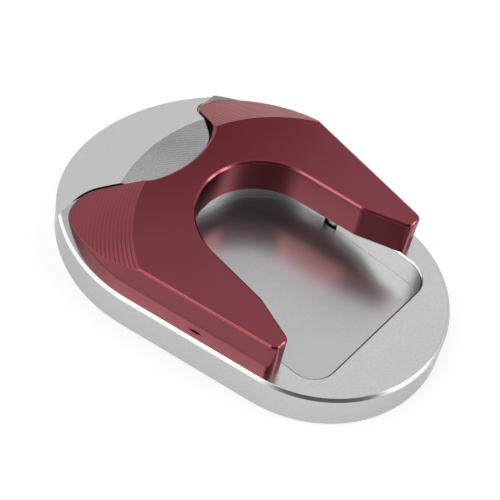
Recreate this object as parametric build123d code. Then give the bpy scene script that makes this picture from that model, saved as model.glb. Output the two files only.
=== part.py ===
from build123d import *
import math
import os

# Kickstand foot enlarger: a milled foot that widens the end of a side stand.
# Millimetres. The foot lies flat on the XY plane with its centre over the origin,
# +X runs towards the open end of the horseshoe and +Z is up.

# Base plate: a rounded outline that narrows from the rear arc to the front arc.
plate_length = 100.0
rear_radius = 35.2
front_radius = 29.65
plate_height = 9.75
plate_top_chamfer = 0.75
plate_bottom_chamfer = 0.5

# Pocket for the foot of the stand.
pocket_floor = 2.4
pocket_half_width = 21.6
pocket_rear_x = -17.7
pocket_front_x = 35.65
pocket_corner_radius = 6.0
pocket_edge_chamfer = 0.45

# Raised rear block, one piece with the plate.
block_height = 6.05

# Horseshoe stop piece that stands on the plate.
stop_height = 9.7
stop_ledge = 2.3
stop_setback = 0.4
stop_edge_chamfer = 0.55
tip_x = 26.6
tip_width = 4.4
tip_corner_radius = 2.0

# Throat of the horseshoe: a round back, sides that open slightly, then wider tips.
throat_radius = 16.3
throat_centre_x = 1.7
throat_flare = 7.1
throat_bend_x = 15.2
throat_bend_radius = 5.0

# Seam between the horseshoe and the rear block, as it runs in plan.
nose_radius = 25.3
nose_tip_x = -21.4
seam_angle = 33.7
seam_apex_x = -6.5
seam_blend_radius = 7.0
horn_radius = 6.0
seam_gap = 0.7

# Conical bevel that runs over the horseshoe, the block and the rear of the plate, behind the seam.
bevel_centre_x = 10.4
bevel_top_radius = 36.9
bevel_angle = 32.0
bevel_margin = 3.0

# Socket-head cap screws, driven up from the underside.
screw_diameter = 5.0
screw_length = 10.0
head_diameter = 8.5
head_height = 5.0
head_edge_chamfer = 0.5
socket_across_flats = 4.0
socket_depth = 2.5
shank_end_chamfer = 0.6
head_recess = 0.3
counterbore_clearance = 0.5
shank_clearance = 0.25
thread_clearance = 0.05
thread_runout = 1.2
drill_point_angle = 59.0
hole_mouth_diameter = 8.1
pocket_break_in = 0.35
side_screw_x = 6.9
rear_screw_x = -19.5
rear_screw_y = 19.0

# Values that follow from the driving dimensions.
rear_x = rear_radius - plate_length / 2
front_x = plate_length / 2 - front_radius
side_taper = math.asin((rear_radius - front_radius) / (front_x - rear_x))
block_top = plate_height + block_height
stop_top = plate_height + stop_height
bevel_slope = math.tan(math.radians(bevel_angle))
counterbore_radius = head_diameter / 2 + counterbore_clearance
seat_z = head_recess + head_height
side_screw_y = pocket_half_width - pocket_break_in + counterbore_radius
screw_places = [
    (side_screw_x, side_screw_y),
    (side_screw_x, -side_screw_y),
    (rear_screw_x, rear_screw_y),
    (rear_screw_x, -rear_screw_y),
]

outer_radius = rear_radius - stop_ledge
seam_run = Vector(-math.cos(math.radians(seam_angle)), math.sin(math.radians(seam_angle)))
seam_normal = Vector(math.sin(math.radians(seam_angle)), math.cos(math.radians(seam_angle)))
seam_apex = Vector(seam_apex_x, 0)
rear_centre = Vector(rear_x, 0)
stop_centre = Vector(rear_x - stop_setback, 0)
nose_centre = Vector(nose_tip_x - nose_radius, 0)


def beside_seam(shift, centre, reach, entry):
    """Where a line beside the seam, shift away from it, enters or leaves a circle."""
    start = seam_apex + seam_normal * shift
    away = start - centre
    along = away.dot(seam_run)
    half_chord = math.sqrt(along ** 2 - away.dot(away) + reach ** 2)
    travel = -along - half_chord if entry else -along + half_chord
    return start + seam_run * travel


horn_centre = beside_seam(horn_radius, stop_centre, outer_radius - horn_radius, entry=False)
blend_reach = nose_radius - seam_blend_radius
blend_centre = beside_seam(-seam_blend_radius, nose_centre, blend_reach, entry=True)


def arc(centre, start, end):
    """Shorter arc about centre between two points."""
    middle = ((start - centre) + (end - centre)).normalized() * (start - centre).length
    return ThreePointArc(start, centre + middle, end)


def both_sides(half):
    """Closed face from the edges of its +Y half."""
    edges = half + [edge.mirror(Plane.XZ) for edge in half]
    return make_face(edges)


def plate_face(inset):
    """Plate outline, moved inwards by inset."""
    rear = rear_radius - inset
    front = front_radius - inset
    lean = Vector(math.sin(side_taper), math.cos(side_taper))
    front_centre = Vector(front_x, 0)
    return both_sides([
        arc(rear_centre, Vector(rear_x - rear, 0), rear_centre + lean * rear),
        Line(rear_centre + lean * rear, front_centre + lean * front),
        arc(front_centre, front_centre + lean * front, Vector(front_x + front, 0)),
    ])


def seam_edges(gap):
    """+Y half of the seam from the nose tip to the horn, moved towards the rear by gap."""
    nose_tip = nose_centre + Vector(nose_radius - gap, 0)
    nose_end = nose_centre + (blend_centre - nose_centre).normalized() * (nose_radius - gap)
    blend_end = blend_centre + seam_normal * (seam_blend_radius - gap)
    horn_start = horn_centre - seam_normal * (horn_radius + gap)
    edges = [
        arc(nose_centre, nose_tip, nose_end),
        arc(blend_centre, nose_end, blend_end),
        Line(blend_end, horn_start),
    ]
    return edges, horn_start


def stop_face():
    """Plan of the horseshoe."""
    seam, horn_start = seam_edges(0)
    lean = Vector(math.sin(side_taper), math.cos(side_taper))
    slope = math.tan(side_taper)
    horn_end = stop_centre + (horn_centre - stop_centre).normalized() * outer_radius
    side_start = stop_centre + lean * outer_radius
    side_end = Vector(tip_x, side_start.Y - (tip_x - side_start.X) * slope)
    flare = math.radians(throat_flare)
    throat_centre = Vector(throat_centre_x, 0)
    throat_end = throat_centre + Vector(-math.sin(flare), math.cos(flare)) * throat_radius
    bend = Vector(throat_bend_x, throat_end.Y + (throat_bend_x - throat_end.X) * math.tan(flare))
    tip_inner = Vector(tip_x, side_end.Y - tip_width)
    face = both_sides(seam + [
        arc(horn_centre, horn_start, horn_end),
        arc(stop_centre, horn_end, side_start),
        Line(side_start, side_end),
        Line(side_end, tip_inner),
        Line(tip_inner, bend),
        Line(bend, throat_end),
        arc(throat_centre, throat_end, throat_centre - Vector(throat_radius, 0)),
    ])
    tip_corners = face.vertices().filter_by(lambda v: abs(v.X - tip_x) < 0.01)
    face = fillet(tip_corners, tip_corner_radius)
    bends = face.vertices().filter_by(lambda v: abs(v.X - bend.X) < 0.01 and abs(abs(v.Y) - bend.Y) < 0.01)
    return fillet(bends, throat_bend_radius)


def block_face():
    """Plan of the rear block, up to the plate outline."""
    seam, horn_start = seam_edges(seam_gap)
    reach = plate_length
    horn_back = horn_centre - Vector(horn_radius + seam_gap, 0)
    behind = both_sides(seam + [
        arc(horn_centre, horn_start, horn_back),
        Line(horn_back, Vector(horn_back.X, reach)),
        Line(Vector(horn_back.X, reach), Vector(-reach, reach)),
        Line(Vector(-reach, reach), Vector(-reach, 0)),
    ])
    return plate_face(0) & behind


def bevel():
    """Everything under the conical bevel."""
    low = -bevel_margin
    high = stop_top + bevel_margin
    low_radius = bevel_top_radius + (stop_top - low) / bevel_slope
    high_radius = bevel_top_radius - (high - stop_top) / bevel_slope
    cone = Cone(low_radius, high_radius, high - low, align=(Align.CENTER, Align.CENTER, Align.MIN))
    return Pos(bevel_centre_x, 0, low) * cone


def drum(radius, low, high):
    """Upright cylinder between two heights."""
    return Pos(0, 0, low) * Cylinder(radius, high - low, align=(Align.CENTER, Align.CENTER, Align.MIN))


def taper(low_radius, high_radius, low, high):
    """Upright cone between two heights."""
    cone = Cone(low_radius, high_radius, high - low, align=(Align.CENTER, Align.CENTER, Align.MIN))
    return Pos(0, 0, low) * cone


def pocket():
    """Pocket volume with a round rear end and rounded front corners."""
    centre = Vector(pocket_rear_x + pocket_half_width, 0)
    rear_end = centre + Vector(0, pocket_half_width)
    corner = Vector(pocket_front_x, pocket_half_width)
    face = both_sides([
        arc(centre, Vector(pocket_rear_x, 0), rear_end),
        Line(rear_end, corner),
        Line(corner, Vector(pocket_front_x, 0)),
    ])
    corners = face.vertices().filter_by(lambda v: abs(v.X - pocket_front_x) < 0.01 and abs(v.Y) > 0.01)
    face = fillet(corners, pocket_corner_radius)
    body = Pos(0, 0, pocket_floor) * extrude(face, plate_height - pocket_floor)
    flare = extrude(Pos(0, 0, plate_height - pocket_edge_chamfer) * face, pocket_edge_chamfer, taper=-45)
    return body + flare


def base_plate():
    plate = extrude(plate_face(0), plate_height)
    plate = chamfer(plate.faces().sort_by(Axis.Z)[-1].edges(), plate_top_chamfer)
    plate = chamfer(plate.faces().sort_by(Axis.Z)[0].edges(), plate_bottom_chamfer)
    rise = plate_height - pocket_floor + block_height
    block = Pos(0, 0, pocket_floor) * extrude(block_face(), rise)
    milled_off = extrude(block_face(), stop_top) - bevel()
    shank_radius = screw_diameter / 2 + shank_clearance
    mouth_radius = hole_mouth_diameter / 2
    mouth_start = plate_height - mouth_radius + shank_radius
    hole = drum(counterbore_radius, -head_recess, seat_z)
    hole += drum(shank_radius, 0, plate_height)
    hole += taper(shank_radius, mouth_radius, mouth_start, plate_height)
    holes = [Pos(x, y, 0) * hole for x, y in screw_places]
    return plate + block - milled_off - pocket() - holes


def stop_piece():
    body = Pos(0, 0, plate_height) * extrude(stop_face(), stop_height)
    body = chamfer(body.faces().sort_by(Axis.Z)[-1].edges(), stop_edge_chamfer)
    body = body & bevel()
    hole_radius = screw_diameter / 2 + thread_clearance
    hole_end = seat_z + screw_length + thread_runout
    point = hole_radius / math.tan(math.radians(drill_point_angle))
    hole = drum(hole_radius, plate_height, hole_end)
    hole += taper(hole_radius, 0, hole_end, hole_end + point)
    return body - [Pos(x, y, 0) * hole for x, y in screw_places]


def cap_screw():
    head = drum(head_diameter / 2, head_recess, seat_z)
    head = chamfer(head.faces().sort_by(Axis.Z)[0].edges(), head_edge_chamfer)
    shank = drum(screw_diameter / 2, seat_z, seat_z + screw_length)
    shank = chamfer(shank.faces().sort_by(Axis.Z)[-1].edges(), shank_end_chamfer)
    hexagon = RegularPolygon(socket_across_flats / 2, 6, major_radius=False)
    socket = Pos(0, 0, head_recess) * extrude(hexagon, socket_depth)
    return head + shank - socket


screw = cap_screw()
screws = Compound(children=[Pos(x, y, 0) * screw for x, y in screw_places])

os.makedirs("parts", exist_ok=True)
export_step(base_plate(), "parts/base_plate.step")
export_step(stop_piece(), "parts/stop_piece.step")
export_step(screws, "parts/base_screws.step")
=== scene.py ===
import math

import bmesh
import bpy
from mathutils import Matrix, Vector


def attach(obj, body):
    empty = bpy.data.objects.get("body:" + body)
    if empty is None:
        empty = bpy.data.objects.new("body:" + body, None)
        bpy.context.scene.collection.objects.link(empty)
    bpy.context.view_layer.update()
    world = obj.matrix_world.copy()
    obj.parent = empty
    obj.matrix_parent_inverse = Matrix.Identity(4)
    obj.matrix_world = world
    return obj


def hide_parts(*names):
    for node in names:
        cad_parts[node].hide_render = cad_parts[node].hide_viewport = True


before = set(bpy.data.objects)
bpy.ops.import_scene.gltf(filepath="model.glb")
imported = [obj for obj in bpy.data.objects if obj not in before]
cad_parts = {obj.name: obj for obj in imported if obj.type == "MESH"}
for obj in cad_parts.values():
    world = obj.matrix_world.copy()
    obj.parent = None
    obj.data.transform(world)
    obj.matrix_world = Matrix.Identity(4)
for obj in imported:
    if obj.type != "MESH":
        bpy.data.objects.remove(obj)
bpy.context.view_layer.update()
scene = bpy.context.scene
scene.view_settings.view_transform = "Standard"

MM = 0.001

# Facets of the solids that lie closer than this are joined again: distance in metres, angle in radians.
same_point = 1e-7
same_plane = 0.003

# Burr-free edges of both milled pieces.
edge_break = 0.11 * MM
edge_break_from = math.radians(24)

# Just above the plate's top: the horseshoe's edges below this stay sharp, so that no line shows at its foot.
horseshoe_seat_z = 9.76 * MM

# Conical slope over the horseshoe's horns, and the rings that the milling cutter leaves on it.
slope_axis_x = 10.4 * MM
slope_top_z = 19.45 * MM
slope_top_radius = 36.9 * MM
slope_fall = math.tan(math.radians(32.0))
ring_pitch = 0.87 * MM
ring_depth = 0.05 * MM
ring_count = 16
ring_skim = 0.03 * MM
ring_steps = 8

# The rings grow shallower from one ring to another, down to a share of their depth.
ring_fade_start = 10.0
ring_fade_end = 16.0
ring_fade_share = 0.25

# Solid that cuts the rings.
mill_arc = math.radians(132)
mill_arc_steps = 161
mill_height = 9.0 * MM

# Cap screws: head down, shank up.
screw_foot_z = 0.3 * MM
screw_seat_z = 5.3 * MM
screw_end_z = 15.3 * MM
screw_head_radius = 4.25 * MM
screw_head_chamfer = 0.5 * MM
screw_edge_break = 0.15 * MM
screw_socket_flats = 4.0 * MM
screw_socket_depth = 2.5 * MM
screw_major_radius = 2.5 * MM
screw_minor_radius = 2.05 * MM
screw_thread_pitch = 0.8 * MM
screw_plain_length = 1.0 * MM
screw_point_length = 0.6 * MM
screw_point_step = 0.2 * MM
screw_segments = 72
screw_levels_per_turn = 8
side_screw_place = (6.9 * MM, 26.0 * MM)
rear_screw_place = (-19.5 * MM, 19.0 * MM)

# Heights on the plate between which a finish changes: just above the pocket's floor, and at the block's flat.
pocket_floor_band = (2.5 * MM, 3.0 * MM)
block_flat_band = (15.7 * MM, 15.78 * MM)

# Depth that a bump of full strength stands for.
bump_depth = 0.02 * MM

# Middles of the two sets of milling arcs on the block's flat, and how fine the arcs are.
hatch_middles = ((0.06, 0.05, 0.0), (0.07, -0.05, 0.0))
hatch_scale = 560.0

# Studio floor: a wide disc. The oval under the foot does not glow, so that gaps in the foot look dark.
floor_z = -0.02 * MM
floor_reach = 6.0
floor_turns = 72
floor_oval = (46 * MM, 30 * MM)
floor_glow = 0.7
floor_colour = (0.3, 0.3, 0.3, 1)

# Studio around the foot: round patches, painted over each other in this order on a room of brightness 1.
# Each has the azimuth and elevation of its middle, the radii where it starts and stops to fade, all in
# degrees, and its brightness. Azimuth 0 is the foot's front (+X), and 90 is its far side (+Y).
room_level = 1.0
studio_patches = (
    # Low strip from the rear round to the near side.
    (-165, 7, 7, 14, 1.8),
    (-150, 15, 7, 14, 1.8),
    (-135, 21, 7, 14, 1.8),
    (-118, 27, 7, 14, 1.8),
    (-100, 32, 7, 14, 1.8),
    # Above the strip: brighter on the near side, dim over the rear.
    (-161, 30, 7, 15, 1.5),
    (174, 46, 8, 18, 0.45),
    (-141, 50, 8, 16, 1.9),
    (-112, 61, 8, 16, 3.6),
    # Over the front, for the back of the throat, with a dim area that keeps the front of the plate grey.
    (16, 20, 10, 16, 1.5),
    (70, 54, 14, 24, 0.5),
    (32, 49, 9, 16, 3.2),
    (18, 27, 4, 7.5, 9.0),
    (37, 20, 4, 7.5, 9.0),
    # Dark side around the camera.
    (-55, 40, 17, 25, 0.12),
    (-22, 36, 17, 25, 0.12),
    # What the flat tops reflect: a little brighter, with a dark screen beside it.
    (110, 56, 5, 13, 1.1),
    (126, 44.5, 3.8, 8, 0.1),
    # Narrow light for the chamfers that face the near side.
    (-98, 41, 3, 6, 5.5),
)


class Nodes:
    """Node tree that is written node by node."""

    def __init__(self, tree):
        self.tree = tree

    def give(self, made, inputs):
        """Set the inputs of a node, or link them where the value is a socket."""
        for key, value in dict(inputs).items():
            if isinstance(value, bpy.types.NodeSocket):
                self.tree.links.new(value, made.inputs[key])
            else:
                made.inputs[key].default_value = value

    def node(self, kind, inputs=(), **settings):
        made = self.tree.nodes.new(kind)
        for key, value in settings.items():
            setattr(made, key, value)
        self.give(made, inputs)
        return made

    def math(self, operation, *values):
        return self.node("ShaderNodeMath", dict(enumerate(values)), operation=operation).outputs[0]

    def between(self, value, start, end, low, high, interpolation="LINEAR"):
        """Value carried over from one range to another."""
        return self.node("ShaderNodeMapRange", {
            "Value": value, "From Min": start, "From Max": end, "To Min": low, "To Max": high,
        }, interpolation_type=interpolation).outputs["Result"]

    def blend(self, factor, first, second):
        return self.node("ShaderNodeMix", {0: factor, 2: first, 3: second}, data_type="FLOAT").outputs[0]


class Tree(Nodes):
    """Geometry tree with named inputs."""

    def __init__(self, name, inputs):
        super().__init__(bpy.data.node_groups.new(name, "GeometryNodeTree"))
        self.names = {}
        for label, kind in inputs:
            socket = self.tree.interface.new_socket(label, in_out="INPUT", socket_type="NodeSocket" + kind)
            self.names[label] = socket.identifier
        self.tree.interface.new_socket("Geometry", in_out="OUTPUT", socket_type="NodeSocketGeometry")
        self.source = self.tree.nodes.new("NodeGroupInput")
        self.sink = self.tree.nodes.new("NodeGroupOutput")

    def given(self, label):
        return self.source.outputs[label]

    def finish(self, geometry):
        self.give(self.sink, {"Geometry": geometry})

    def run(self, name, mesh, values):
        """Plain object with the mesh that the tree makes from the given mesh and input values."""
        carrier = bpy.data.objects.new(name + "_blank", mesh)
        scene.collection.objects.link(carrier)
        modifier = carrier.modifiers.new("made_by_rule", "NODES")
        modifier.node_group = self.tree
        for label, value in values.items():
            modifier[self.names[label]] = value
        return settled(name, carrier)


def settled(name, carrier):
    """Plain object with the evaluated mesh of carrier, which goes."""
    bpy.context.view_layer.update()
    graph = bpy.context.evaluated_depsgraph_get()
    mesh = bpy.data.meshes.new_from_object(carrier.evaluated_get(graph))
    mesh.name = name
    bpy.data.objects.remove(carrier)
    piece = bpy.data.objects.new(name, mesh)
    scene.collection.objects.link(piece)
    return piece


def milled_blank(name, node, seat_z=-math.inf):
    """Copy of a solid's mesh with its facets joined and its sharp edges above the seat broken."""
    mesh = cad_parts[node].data.copy()
    mesh.name = name
    shape = bmesh.new()
    shape.from_mesh(mesh)
    bmesh.ops.remove_doubles(shape, verts=shape.verts, dist=same_point)
    bmesh.ops.dissolve_limit(shape, angle_limit=same_plane, verts=shape.verts, edges=shape.edges)
    above = [edge for edge in shape.edges if max(end.co.z for end in edge.verts) > seat_z]
    sharp = [edge for edge in above if edge.calc_face_angle(0) > edge_break_from]
    bmesh.ops.bevel(shape, geom=sharp, offset=edge_break, offset_type="OFFSET", segments=2, profile=0.5,
                    affect="EDGES", clamp_overlap=False)
    shape.to_mesh(mesh)
    shape.free()
    for layer in ("custom_normal", "sharp_edge", "sharp_face"):
        found = mesh.attributes.get(layer)
        if found:
            mesh.attributes.remove(found)
    mesh.materials.clear()
    return mesh


def ring_mill():
    """Tree of the solid that mills a ringed cone: an arc of a cone with a scalloped underside."""
    tree = Tree("ring_mill", [
        ("Axis X", "Float"), ("Top Height", "Float"), ("Top Radius", "Float"), ("Fall", "Float"),
        ("Skim", "Float"), ("Pitch", "Float"), ("Depth", "Float"), ("Rings", "Int"), ("Steps in Ring", "Int"),
        ("Steps in Arc", "Int"), ("Arc", "Float"), ("Height", "Float"),
    ])
    rings = tree.math("ADD", tree.given("Rings"), 1.0)
    steps = tree.math("ADD", tree.math("MULTIPLY", rings, tree.given("Steps in Ring")), 1.0)
    grid = tree.node("GeometryNodeMeshGrid", {
        "Size X": 1.0, "Size Y": 1.0, "Vertices X": steps, "Vertices Y": tree.given("Steps in Arc"),
    }).outputs["Mesh"]
    place = tree.node("ShaderNodeSeparateXYZ", {0: tree.node("GeometryNodeInputPosition").outputs[0]})
    count = tree.math("SUBTRACT", tree.math("MULTIPLY", tree.math("ADD", place.outputs[0], 0.5), rings), 1.0)
    out = tree.math("MULTIPLY", count, tree.given("Pitch"))
    radius = tree.math("ADD", tree.given("Top Radius"), out)
    turn = tree.math("ADD", tree.math("MULTIPLY", place.outputs[1], tree.given("Arc")), math.pi)
    across = tree.math("SUBTRACT", tree.math("MULTIPLY", tree.math("FRACT", count), 2.0), 1.0)
    dip = tree.math("SUBTRACT", 1.0, tree.math("MULTIPLY", across, across))
    fade = tree.between(count, ring_fade_start, ring_fade_end, 1.0, ring_fade_share, "SMOOTHSTEP")
    cut = tree.math("MULTIPLY", tree.math("MULTIPLY", dip, fade), tree.given("Depth"))
    low = tree.math("SUBTRACT", tree.given("Top Height"), tree.math("MULTIPLY", out, tree.given("Fall")))
    low = tree.math("SUBTRACT", tree.math("SUBTRACT", low, tree.given("Skim")), cut)
    x = tree.math("ADD", tree.given("Axis X"), tree.math("MULTIPLY", radius, tree.math("COSINE", turn)))
    y = tree.math("MULTIPLY", radius, tree.math("SINE", turn))
    spot = tree.node("ShaderNodeCombineXYZ", {0: x, 1: y, 2: low}).outputs[0]
    under = tree.node("GeometryNodeSetPosition", {"Geometry": grid, "Position": spot}).outputs[0]
    rise = tree.node("ShaderNodeCombineXYZ", {2: tree.given("Height")}).outputs[0]
    over = tree.node("GeometryNodeExtrudeMesh", {
        "Mesh": under, "Offset": rise, "Offset Scale": 1.0, "Individual": False,
    }, mode="FACES").outputs["Mesh"]
    back = tree.node("GeometryNodeFlipFaces", {"Mesh": under}).outputs[0]
    join = tree.node("GeometryNodeJoinGeometry")
    tree.tree.links.new(over, join.inputs[0])
    tree.tree.links.new(back, join.inputs[0])
    merge = {"Geometry": join.outputs[0], "Distance": same_point}
    closed = tree.node("GeometryNodeMergeByDistance", merge).outputs[0]
    tree.finish(tree.node("GeometryNodeRealizeInstances", {"Geometry": closed}).outputs[0])
    return tree


def horseshoe_with_rings():
    """Horseshoe whose sloping horns carry the rings of the milling cutter."""
    mill = ring_mill().run("ring_mill", bpy.data.meshes.new("ring_mill_blank"), {
        "Axis X": slope_axis_x, "Top Height": slope_top_z, "Top Radius": slope_top_radius, "Fall": slope_fall,
        "Skim": ring_skim, "Pitch": ring_pitch, "Depth": ring_depth, "Rings": ring_count,
        "Steps in Ring": ring_steps, "Steps in Arc": mill_arc_steps, "Arc": mill_arc, "Height": mill_height,
    })
    mesh = milled_blank("horseshoe_blank", "stop_piece", horseshoe_seat_z)
    blank = bpy.data.objects.new("horseshoe_blank", mesh)
    scene.collection.objects.link(blank)
    cut = blank.modifiers.new("ring_cut", "BOOLEAN")
    cut.operation = "DIFFERENCE"
    cut.solver = "EXACT"
    cut.object = mill
    horseshoe = settled("horseshoe", blank)
    bpy.data.objects.remove(mill)
    return horseshoe


def screw_blank():
    """One cap screw on the Z axis: hexagon socket, plain head and threaded shank."""
    segments = screw_segments
    turns = [2 * math.pi * k / segments for k in range(segments)]
    sixth = math.pi / 3

    def hexagon(angle, flats):
        return flats / 2 / math.cos((angle + sixth / 2) % sixth - sixth / 2)

    rings = []

    def ring(z, radius):
        rings.append([(radius(t) * math.cos(t), radius(t) * math.sin(t), z) for t in turns])

    def flat(value):
        return lambda t: value

    def socket(extra):
        return lambda t: hexagon(t, screw_socket_flats + extra)

    socket_end = screw_foot_z + screw_socket_depth
    ring(socket_end, socket(0))
    ring(screw_foot_z + screw_edge_break, socket(0))
    ring(screw_foot_z, socket(2 * screw_edge_break))
    ring(screw_foot_z, flat(screw_head_radius - screw_head_chamfer))
    ring(screw_foot_z + screw_head_chamfer, flat(screw_head_radius))
    ring(screw_seat_z - screw_edge_break, flat(screw_head_radius))
    ring(screw_seat_z, flat(screw_head_radius - screw_edge_break))
    ring(screw_seat_z, flat(screw_major_radius))
    thread_start = screw_seat_z + screw_plain_length
    thread_end = screw_end_z - screw_point_length
    ring(thread_start - screw_edge_break, flat(screw_major_radius))
    levels = int((thread_end - thread_start) / screw_thread_pitch * screw_levels_per_turn)
    for k in range(levels + 1):
        z = thread_start + (thread_end - thread_start) * k / levels

        def flank(t, z=z):
            phase = (z / screw_thread_pitch - t / (2 * math.pi)) % 1.0
            depth = min(1.0, max(0.0, 1.5 * abs(2 * phase - 1) - 0.25))
            return screw_minor_radius + (screw_major_radius - screw_minor_radius) * depth

        ring(z, flank)
    ring(screw_end_z, flat(screw_minor_radius - screw_point_step))

    points = [point for row in rings for point in row]
    first = len(points)
    last = first + 1
    points += [(0, 0, socket_end), (0, 0, screw_end_z)]
    faces = []
    for row in range(len(rings) - 1):
        for k in range(segments):
            a = row * segments + k
            b = row * segments + (k + 1) % segments
            faces.append((a, b, b + segments, a + segments))
    top = (len(rings) - 1) * segments
    for k in range(segments):
        faces.append((first, (k + 1) % segments, k))
        faces.append((last, top + k, top + (k + 1) % segments))
    mesh = bpy.data.meshes.new("cap_screw_blank")
    mesh.from_pydata(points, [], faces)
    shape = bmesh.new()
    shape.from_mesh(mesh)
    bmesh.ops.recalc_face_normals(shape, faces=shape.faces)
    shape.to_mesh(mesh)
    shape.free()
    return mesh


def screw_set():
    """Tree that sets the given screw into its two side holes and its two rear holes."""
    tree = Tree("screw_set", [
        ("Screw", "Geometry"), ("Side X", "Float"), ("Side Y", "Float"),
        ("Rear X", "Float"), ("Rear Y", "Float"), ("Finish", "Material"),
    ])
    index = tree.node("GeometryNodeInputIndex").outputs[0]
    rear = tree.node("FunctionNodeCompare", {2: index, 3: 2},
                     data_type="INT", operation="GREATER_EQUAL").outputs[0]
    side = tree.math("SUBTRACT", 1.0, tree.math("MULTIPLY", tree.math("MODULO", index, 2.0), 2.0))

    def either(side_label, rear_label):
        choice = {"Switch": rear, "False": tree.given(side_label), "True": tree.given(rear_label)}
        return tree.node("GeometryNodeSwitch", choice, input_type="FLOAT").outputs[0]

    x = either("Side X", "Rear X")
    y = either("Side Y", "Rear Y")
    spot = tree.node("ShaderNodeCombineXYZ", {0: x, 1: tree.math("MULTIPLY", y, side)}).outputs[0]
    points = tree.node("GeometryNodePoints", {"Count": 4, "Position": spot}).outputs[0]
    places = {"Points": points, "Instance": tree.given("Screw")}
    placed = tree.node("GeometryNodeInstanceOnPoints", places).outputs[0]
    real = tree.node("GeometryNodeRealizeInstances", {"Geometry": placed}).outputs[0]
    painted = {"Geometry": real, "Material": tree.given("Finish")}
    tree.finish(tree.node("GeometryNodeSetMaterial", painted).outputs[0])
    return tree


class Finish(Nodes):
    """Procedural metal on Object coordinates."""

    def __init__(self, name, edge_tint):
        self.material = bpy.data.materials.new(name)
        self.material.use_nodes = True
        super().__init__(self.material.node_tree)
        self.shader = self.tree.nodes["Principled BSDF"]
        self.give(self.shader, {"Metallic": 1.0, "Specular Tint": (*edge_tint, 1)})
        self.place = self.node("ShaderNodeTexCoord").outputs["Object"]

    def grain(self, scale, detail):
        noise = {"Vector": self.place, "Scale": scale, "Detail": detail}
        return self.node("ShaderNodeTexNoise", noise).outputs[0]

    def spread(self, noise, low, high):
        """Noise, which lies mostly between 0.3 and 0.7, spread over a range."""
        return self.between(noise, 0.3, 0.7, low, high)

    def colour(self, noise, first, second):
        factor = self.spread(noise, 0.0, 1.0)
        mixed = self.node("ShaderNodeMix", {0: factor, 6: (*first, 1), 7: (*second, 1)}, data_type="RGBA")
        self.give(self.shader, {"Base Color": mixed.outputs[2]})

    def arcs(self, middle):
        """Fine arcs left by a face mill about a middle beside the piece."""
        moved = self.node("ShaderNodeMapping", {"Vector": self.place, "Location": middle}).outputs[0]
        wave = {"Vector": moved, "Scale": hatch_scale, "Distortion": 0.4, "Detail": 1.0}
        return self.node("ShaderNodeTexWave", wave, wave_type="RINGS", rings_direction="Z").outputs["Fac"]

    def bump(self, height, strength, under=None):
        values = {"Height": height, "Strength": strength, "Distance": bump_depth}
        if under is not None:
            values["Normal"] = under
        return self.node("ShaderNodeBump", values).outputs[0]


def natural_anodised():
    """Silver with a fine grain, a more satin pocket floor and crossed milling arcs on the block's flat."""
    finish = Finish("natural_anodised_satin", (0.75, 0.75, 0.75))
    cloud = finish.grain(70.0, 2.0)
    grain = finish.grain(2200.0, 2.0)
    finish.colour(grain, (0.516, 0.516, 0.516), (0.553, 0.553, 0.553))
    height = finish.node("ShaderNodeSeparateXYZ", {0: finish.place}).outputs[2]
    satin = finish.between(height, *pocket_floor_band, 0.1, 0.0)
    on_flat = finish.between(height, *block_flat_band, 0.0, 1.0)
    hatch = finish.math("ADD", *[finish.arcs(middle) for middle in hatch_middles])
    marks = finish.bump(finish.math("MULTIPLY", hatch, on_flat), 0.16)
    finish.give(finish.shader, {
        "Roughness": finish.math("ADD", finish.spread(cloud, 0.19, 0.24), satin),
        "Normal": finish.bump(grain, 0.05, marks),
    })
    return finish.material


def red_anodised():
    """Dark red under a thin clear coat."""
    finish = Finish("red_anodised_satin", (0.8, 0.5, 0.5))
    cloud = finish.grain(110.0, 2.0)
    grain = finish.grain(4200.0, 1.0)
    finish.colour(cloud, (0.194, 0.03, 0.04), (0.204, 0.0325, 0.043))
    finish.give(finish.shader, {
        "Roughness": finish.spread(grain, 0.21, 0.27), "Normal": finish.bump(grain, 0.05),
        "Coat Weight": 0.45, "Coat Roughness": 0.09, "Coat IOR": 1.5,
    })
    return finish.material


def screw_steel():
    """Plain steel."""
    finish = Finish("screw_steel_plain", (1.0, 1.0, 1.0))
    grain = finish.grain(2500.0, 2.0)
    finish.colour(grain, (0.4, 0.4, 0.41), (0.46, 0.46, 0.47))
    finish.give(finish.shader, {"Roughness": finish.spread(grain, 0.22, 0.34)})
    return finish.material


def smoothed(piece, sharp_from):
    """Smooth faces, with large faces kept even and edges sharper than sharp_from kept crisp."""
    for face in piece.data.polygons:
        face.use_smooth = True
    piece.data.set_sharp_from_angle(angle=math.radians(sharp_from))
    even = piece.modifiers.new("even_faces", "WEIGHTED_NORMAL")
    even.mode = "FACE_AREA"
    even.keep_sharp = True
    even.weight = 100


def dress(piece, node, material, sharp_from):
    """Give a piece its material, and set it in the place of its solid."""
    piece.data.materials.clear()
    piece.data.materials.append(material)
    smoothed(piece, sharp_from)
    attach(piece, "root")
    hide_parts(node)


foot_plate = bpy.data.objects.new("foot_plate", milled_blank("foot_plate", "base_plate"))
scene.collection.objects.link(foot_plate)
dress(foot_plate, "base_plate", natural_anodised(), 50)
dress(horseshoe_with_rings(), "stop_piece", red_anodised(), 50)
steel = screw_steel()
cap_screws = screw_set().run("cap_screws", screw_blank(), {
    "Side X": side_screw_place[0], "Side Y": side_screw_place[1],
    "Rear X": rear_screw_place[0], "Rear Y": rear_screw_place[1], "Finish": steel,
})
dress(cap_screws, "base_screws", steel, 35)


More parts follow.
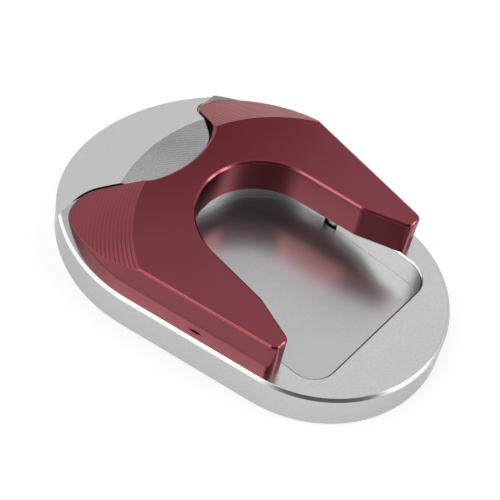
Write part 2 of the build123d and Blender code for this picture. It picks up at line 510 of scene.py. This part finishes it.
def floor_finish(name, glow):
    """Matt white with a glow of its own."""
    material = bpy.data.materials.new(name)
    material.use_nodes = True
    nodes = Nodes(material.node_tree)
    nodes.tree.nodes.clear()
    glowing = nodes.node("ShaderNodeEmission", {"Strength": glow}).outputs[0]
    matt = nodes.node("ShaderNodeBsdfDiffuse", {"Color": floor_colour}).outputs[0]
    both = nodes.node("ShaderNodeAddShader", {0: glowing, 1: matt}).outputs[0]
    nodes.node("ShaderNodeOutputMaterial", {"Surface": both})
    return material


def studio_floor():
    """White floor that glows a little, so that it stays white, but not in the oval under the foot."""
    turns = floor_turns
    around = [2 * math.pi * k / turns for k in range(turns)]

    def ring(along, across):
        return [(along * math.cos(t), across * math.sin(t), floor_z) for t in around]

    wide = [(k, turns + k, turns + (k + 1) % turns, (k + 1) % turns) for k in range(turns)]
    oval = tuple(range(turns))
    mesh = bpy.data.meshes.new("studio_floor")
    mesh.from_pydata(ring(*floor_oval) + ring(floor_reach, floor_reach), [], wide + [oval])
    mesh.materials.append(floor_finish("studio_floor_white", floor_glow))
    mesh.materials.append(floor_finish("studio_floor_shaded", 0.0))
    mesh.polygons[turns].material_index = 1
    floor = bpy.data.objects.new("studio_floor", mesh)
    scene.collection.objects.link(floor)


def studio_surround():
    """Room with the studio's patches for light and reflections. The camera itself sees plain white."""
    world = bpy.data.worlds.new("studio_surround")
    scene.world = world
    world.use_nodes = True
    nodes = Nodes(world.node_tree)
    nodes.tree.nodes.clear()
    direction = nodes.node("ShaderNodeTexCoord").outputs["Generated"]
    level = room_level
    for azimuth, elevation, core, rim, brightness in studio_patches:
        a = math.radians(azimuth)
        e = math.radians(elevation)
        middle = (math.cos(a) * math.cos(e), math.sin(a) * math.cos(e), math.sin(e))
        facing = nodes.node("ShaderNodeVectorMath", {0: direction, 1: middle}, operation="DOT_PRODUCT")
        rim_facing = math.cos(math.radians(rim))
        core_facing = math.cos(math.radians(core))
        share = nodes.between(facing.outputs["Value"], rim_facing, core_facing, 0.0, 1.0, "SMOOTHSTEP")
        level = nodes.blend(share, level, brightness)
    camera_ray = nodes.node("ShaderNodeLightPath").outputs["Is Camera Ray"]
    seen = nodes.blend(camera_ray, level, 1.0)
    sky = nodes.node("ShaderNodeBackground", {"Color": (1, 1, 1, 1), "Strength": seen}).outputs[0]
    nodes.node("ShaderNodeOutputWorld", {"Surface": sky})


def photo_camera():
    """Camera at the photograph's viewing angle."""
    right = Vector((0.754839, 0.640243, 0.1425))
    up = Vector((-0.57799, 0.546574, 0.605958))
    back = Vector((0.310073, -0.539764, 0.782629))
    place = Vector((116.397, -203.933, 300.535)) * MM
    data = bpy.data.cameras.new("photo_camera")
    data.sensor_width = 36.0
    data.lens = 116.352
    data.clip_start = 0.01
    data.clip_end = 30.0
    camera = bpy.data.objects.new("photo_camera", data)
    camera.matrix_world = Matrix((
        (right.x, up.x, back.x, place.x),
        (right.y, up.y, back.y, place.y),
        (right.z, up.z, back.z, place.z),
        (0, 0, 0, 1),
    ))
    scene.collection.objects.link(camera)
    scene.camera = camera


studio_floor()
studio_surround()
photo_camera()
